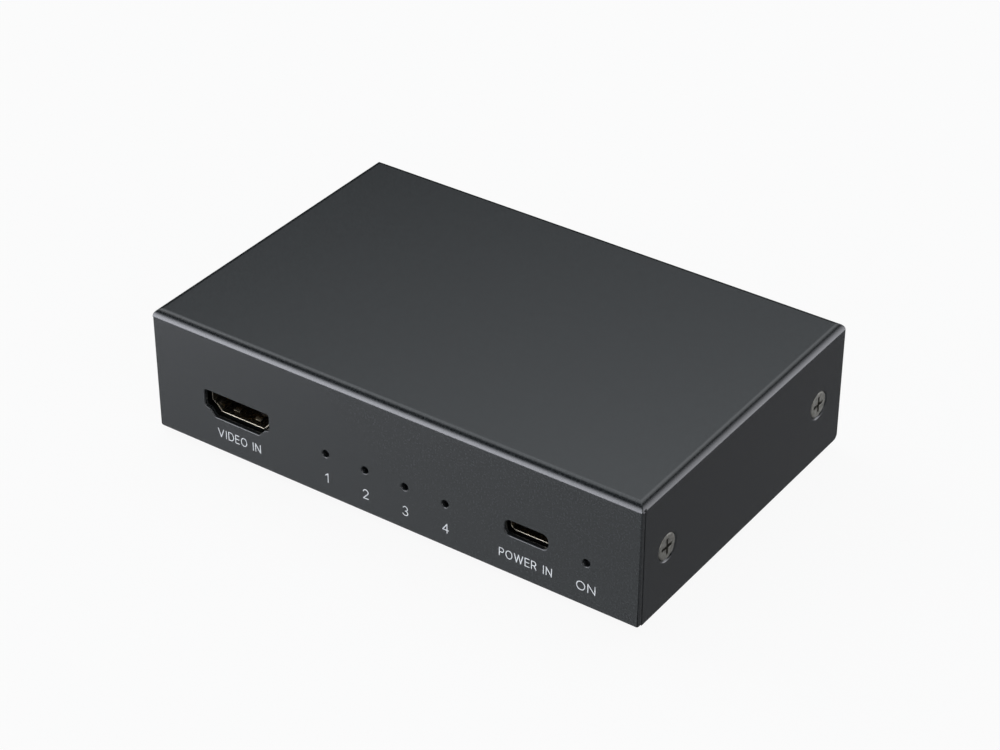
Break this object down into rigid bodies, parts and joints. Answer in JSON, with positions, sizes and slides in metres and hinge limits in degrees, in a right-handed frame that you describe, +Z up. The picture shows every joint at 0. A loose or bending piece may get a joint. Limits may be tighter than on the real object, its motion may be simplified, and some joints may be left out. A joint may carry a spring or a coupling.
{
  "type": "video splitter box",
  "caption": "Small video splitter box in dark grey folded steel, with a video input, a power socket and status lamps on the front and video outputs on the rear.",
  "frame": {"origin": "middle of the footprint, on the surface that the rubber feet stand on", "axes": "+X to the right along the front panel, +Y from the front panel to the rear panel, +Z up"},
  "size_m": [0.108, 0.07, 0.0275],
  "materials": {
    "powder_coat": "satin fine-textured powder coat, dark grey",
    "screw_steel": "grey passivated zinc plate, satin",
    "rubber": "matt black",
    "zinc_steel": "bright zinc plate",
    "nickel_shell": "nickel-plated drawn shell",
    "black_moulding": "moulded glass-filled resin",
    "solder_mask": "black solder mask over laminate",
    "smoked_lens": "smoked clear epoxy, unlit",
    "chip_epoxy": "moulded epoxy",
    "thermal_tape": "filled silicone tape",
    "black_anodised": "black anodised extrusion",
    "ferrite": "sintered ferrite",
    "tinned_can": "drawn can",
    "white_ink": "screen-printed white ink, matt",
    "gold_contact": "gold flash over nickel",
    "solder": "lead-free solder, reflowed"
  },
  "bodies": {
    "root": {"cover": "powder_coat", "base_plate": "powder_coat", "side_screw_front_left": "screw_steel", "side_screw_front_right": "screw_steel", "side_screw_rear_left": "screw_steel", "side_screw_rear_right": "screw_steel", "rubber_foot_front_left": "rubber", "rubber_foot_front_right": "rubber", "rubber_foot_rear_left": "rubber", "rubber_foot_rear_right": "rubber", "standoff_front_left": "zinc_steel", "standoff_front_right": "zinc_steel", "standoff_rear_left": "zinc_steel", "standoff_rear_right": "zinc_steel", "board_screw_front_left": "zinc_steel", "board_screw_front_right": "zinc_steel", "board_screw_rear_left": "zinc_steel", "board_screw_rear_right": "zinc_steel", "video_in_shell": "nickel_shell", "video_in_moulding": "black_moulding", "video_out_1_shell": "nickel_shell", "video_out_1_moulding": "black_moulding", "video_out_2_shell": "nickel_shell", "video_out_2_moulding": "black_moulding", "video_out_3_shell": "nickel_shell", "video_out_3_moulding": "black_moulding", "video_out_4_shell": "nickel_shell", "video_out_4_moulding": "black_moulding", "power_socket_shell": "nickel_shell", "power_socket_moulding": "black_moulding", "power_socket_spacer": "black_moulding", "circuit_board": "solder_mask", "port_lamp_1": "smoked_lens", "port_lamp_2": "smoked_lens", "port_lamp_3": "smoked_lens", "port_lamp_4": "smoked_lens", "power_lamp": "smoked_lens", "splitter_chip": "chip_epoxy", "thermal_tape": "thermal_tape", "heat_sink": "black_anodised", "control_chip": "chip_epoxy", "crystal": "tinned_can", "video_in_guard": "chip_epoxy", "video_out_1_guard": "chip_epoxy", "video_out_2_guard": "chip_epoxy", "video_out_3_guard": "chip_epoxy", "video_out_4_guard": "chip_epoxy", "regulator": "chip_epoxy", "power_coil": "ferrite", "supply_can_1": "tinned_can", "supply_can_2": "tinned_can"}
  },
  "joints": []
}
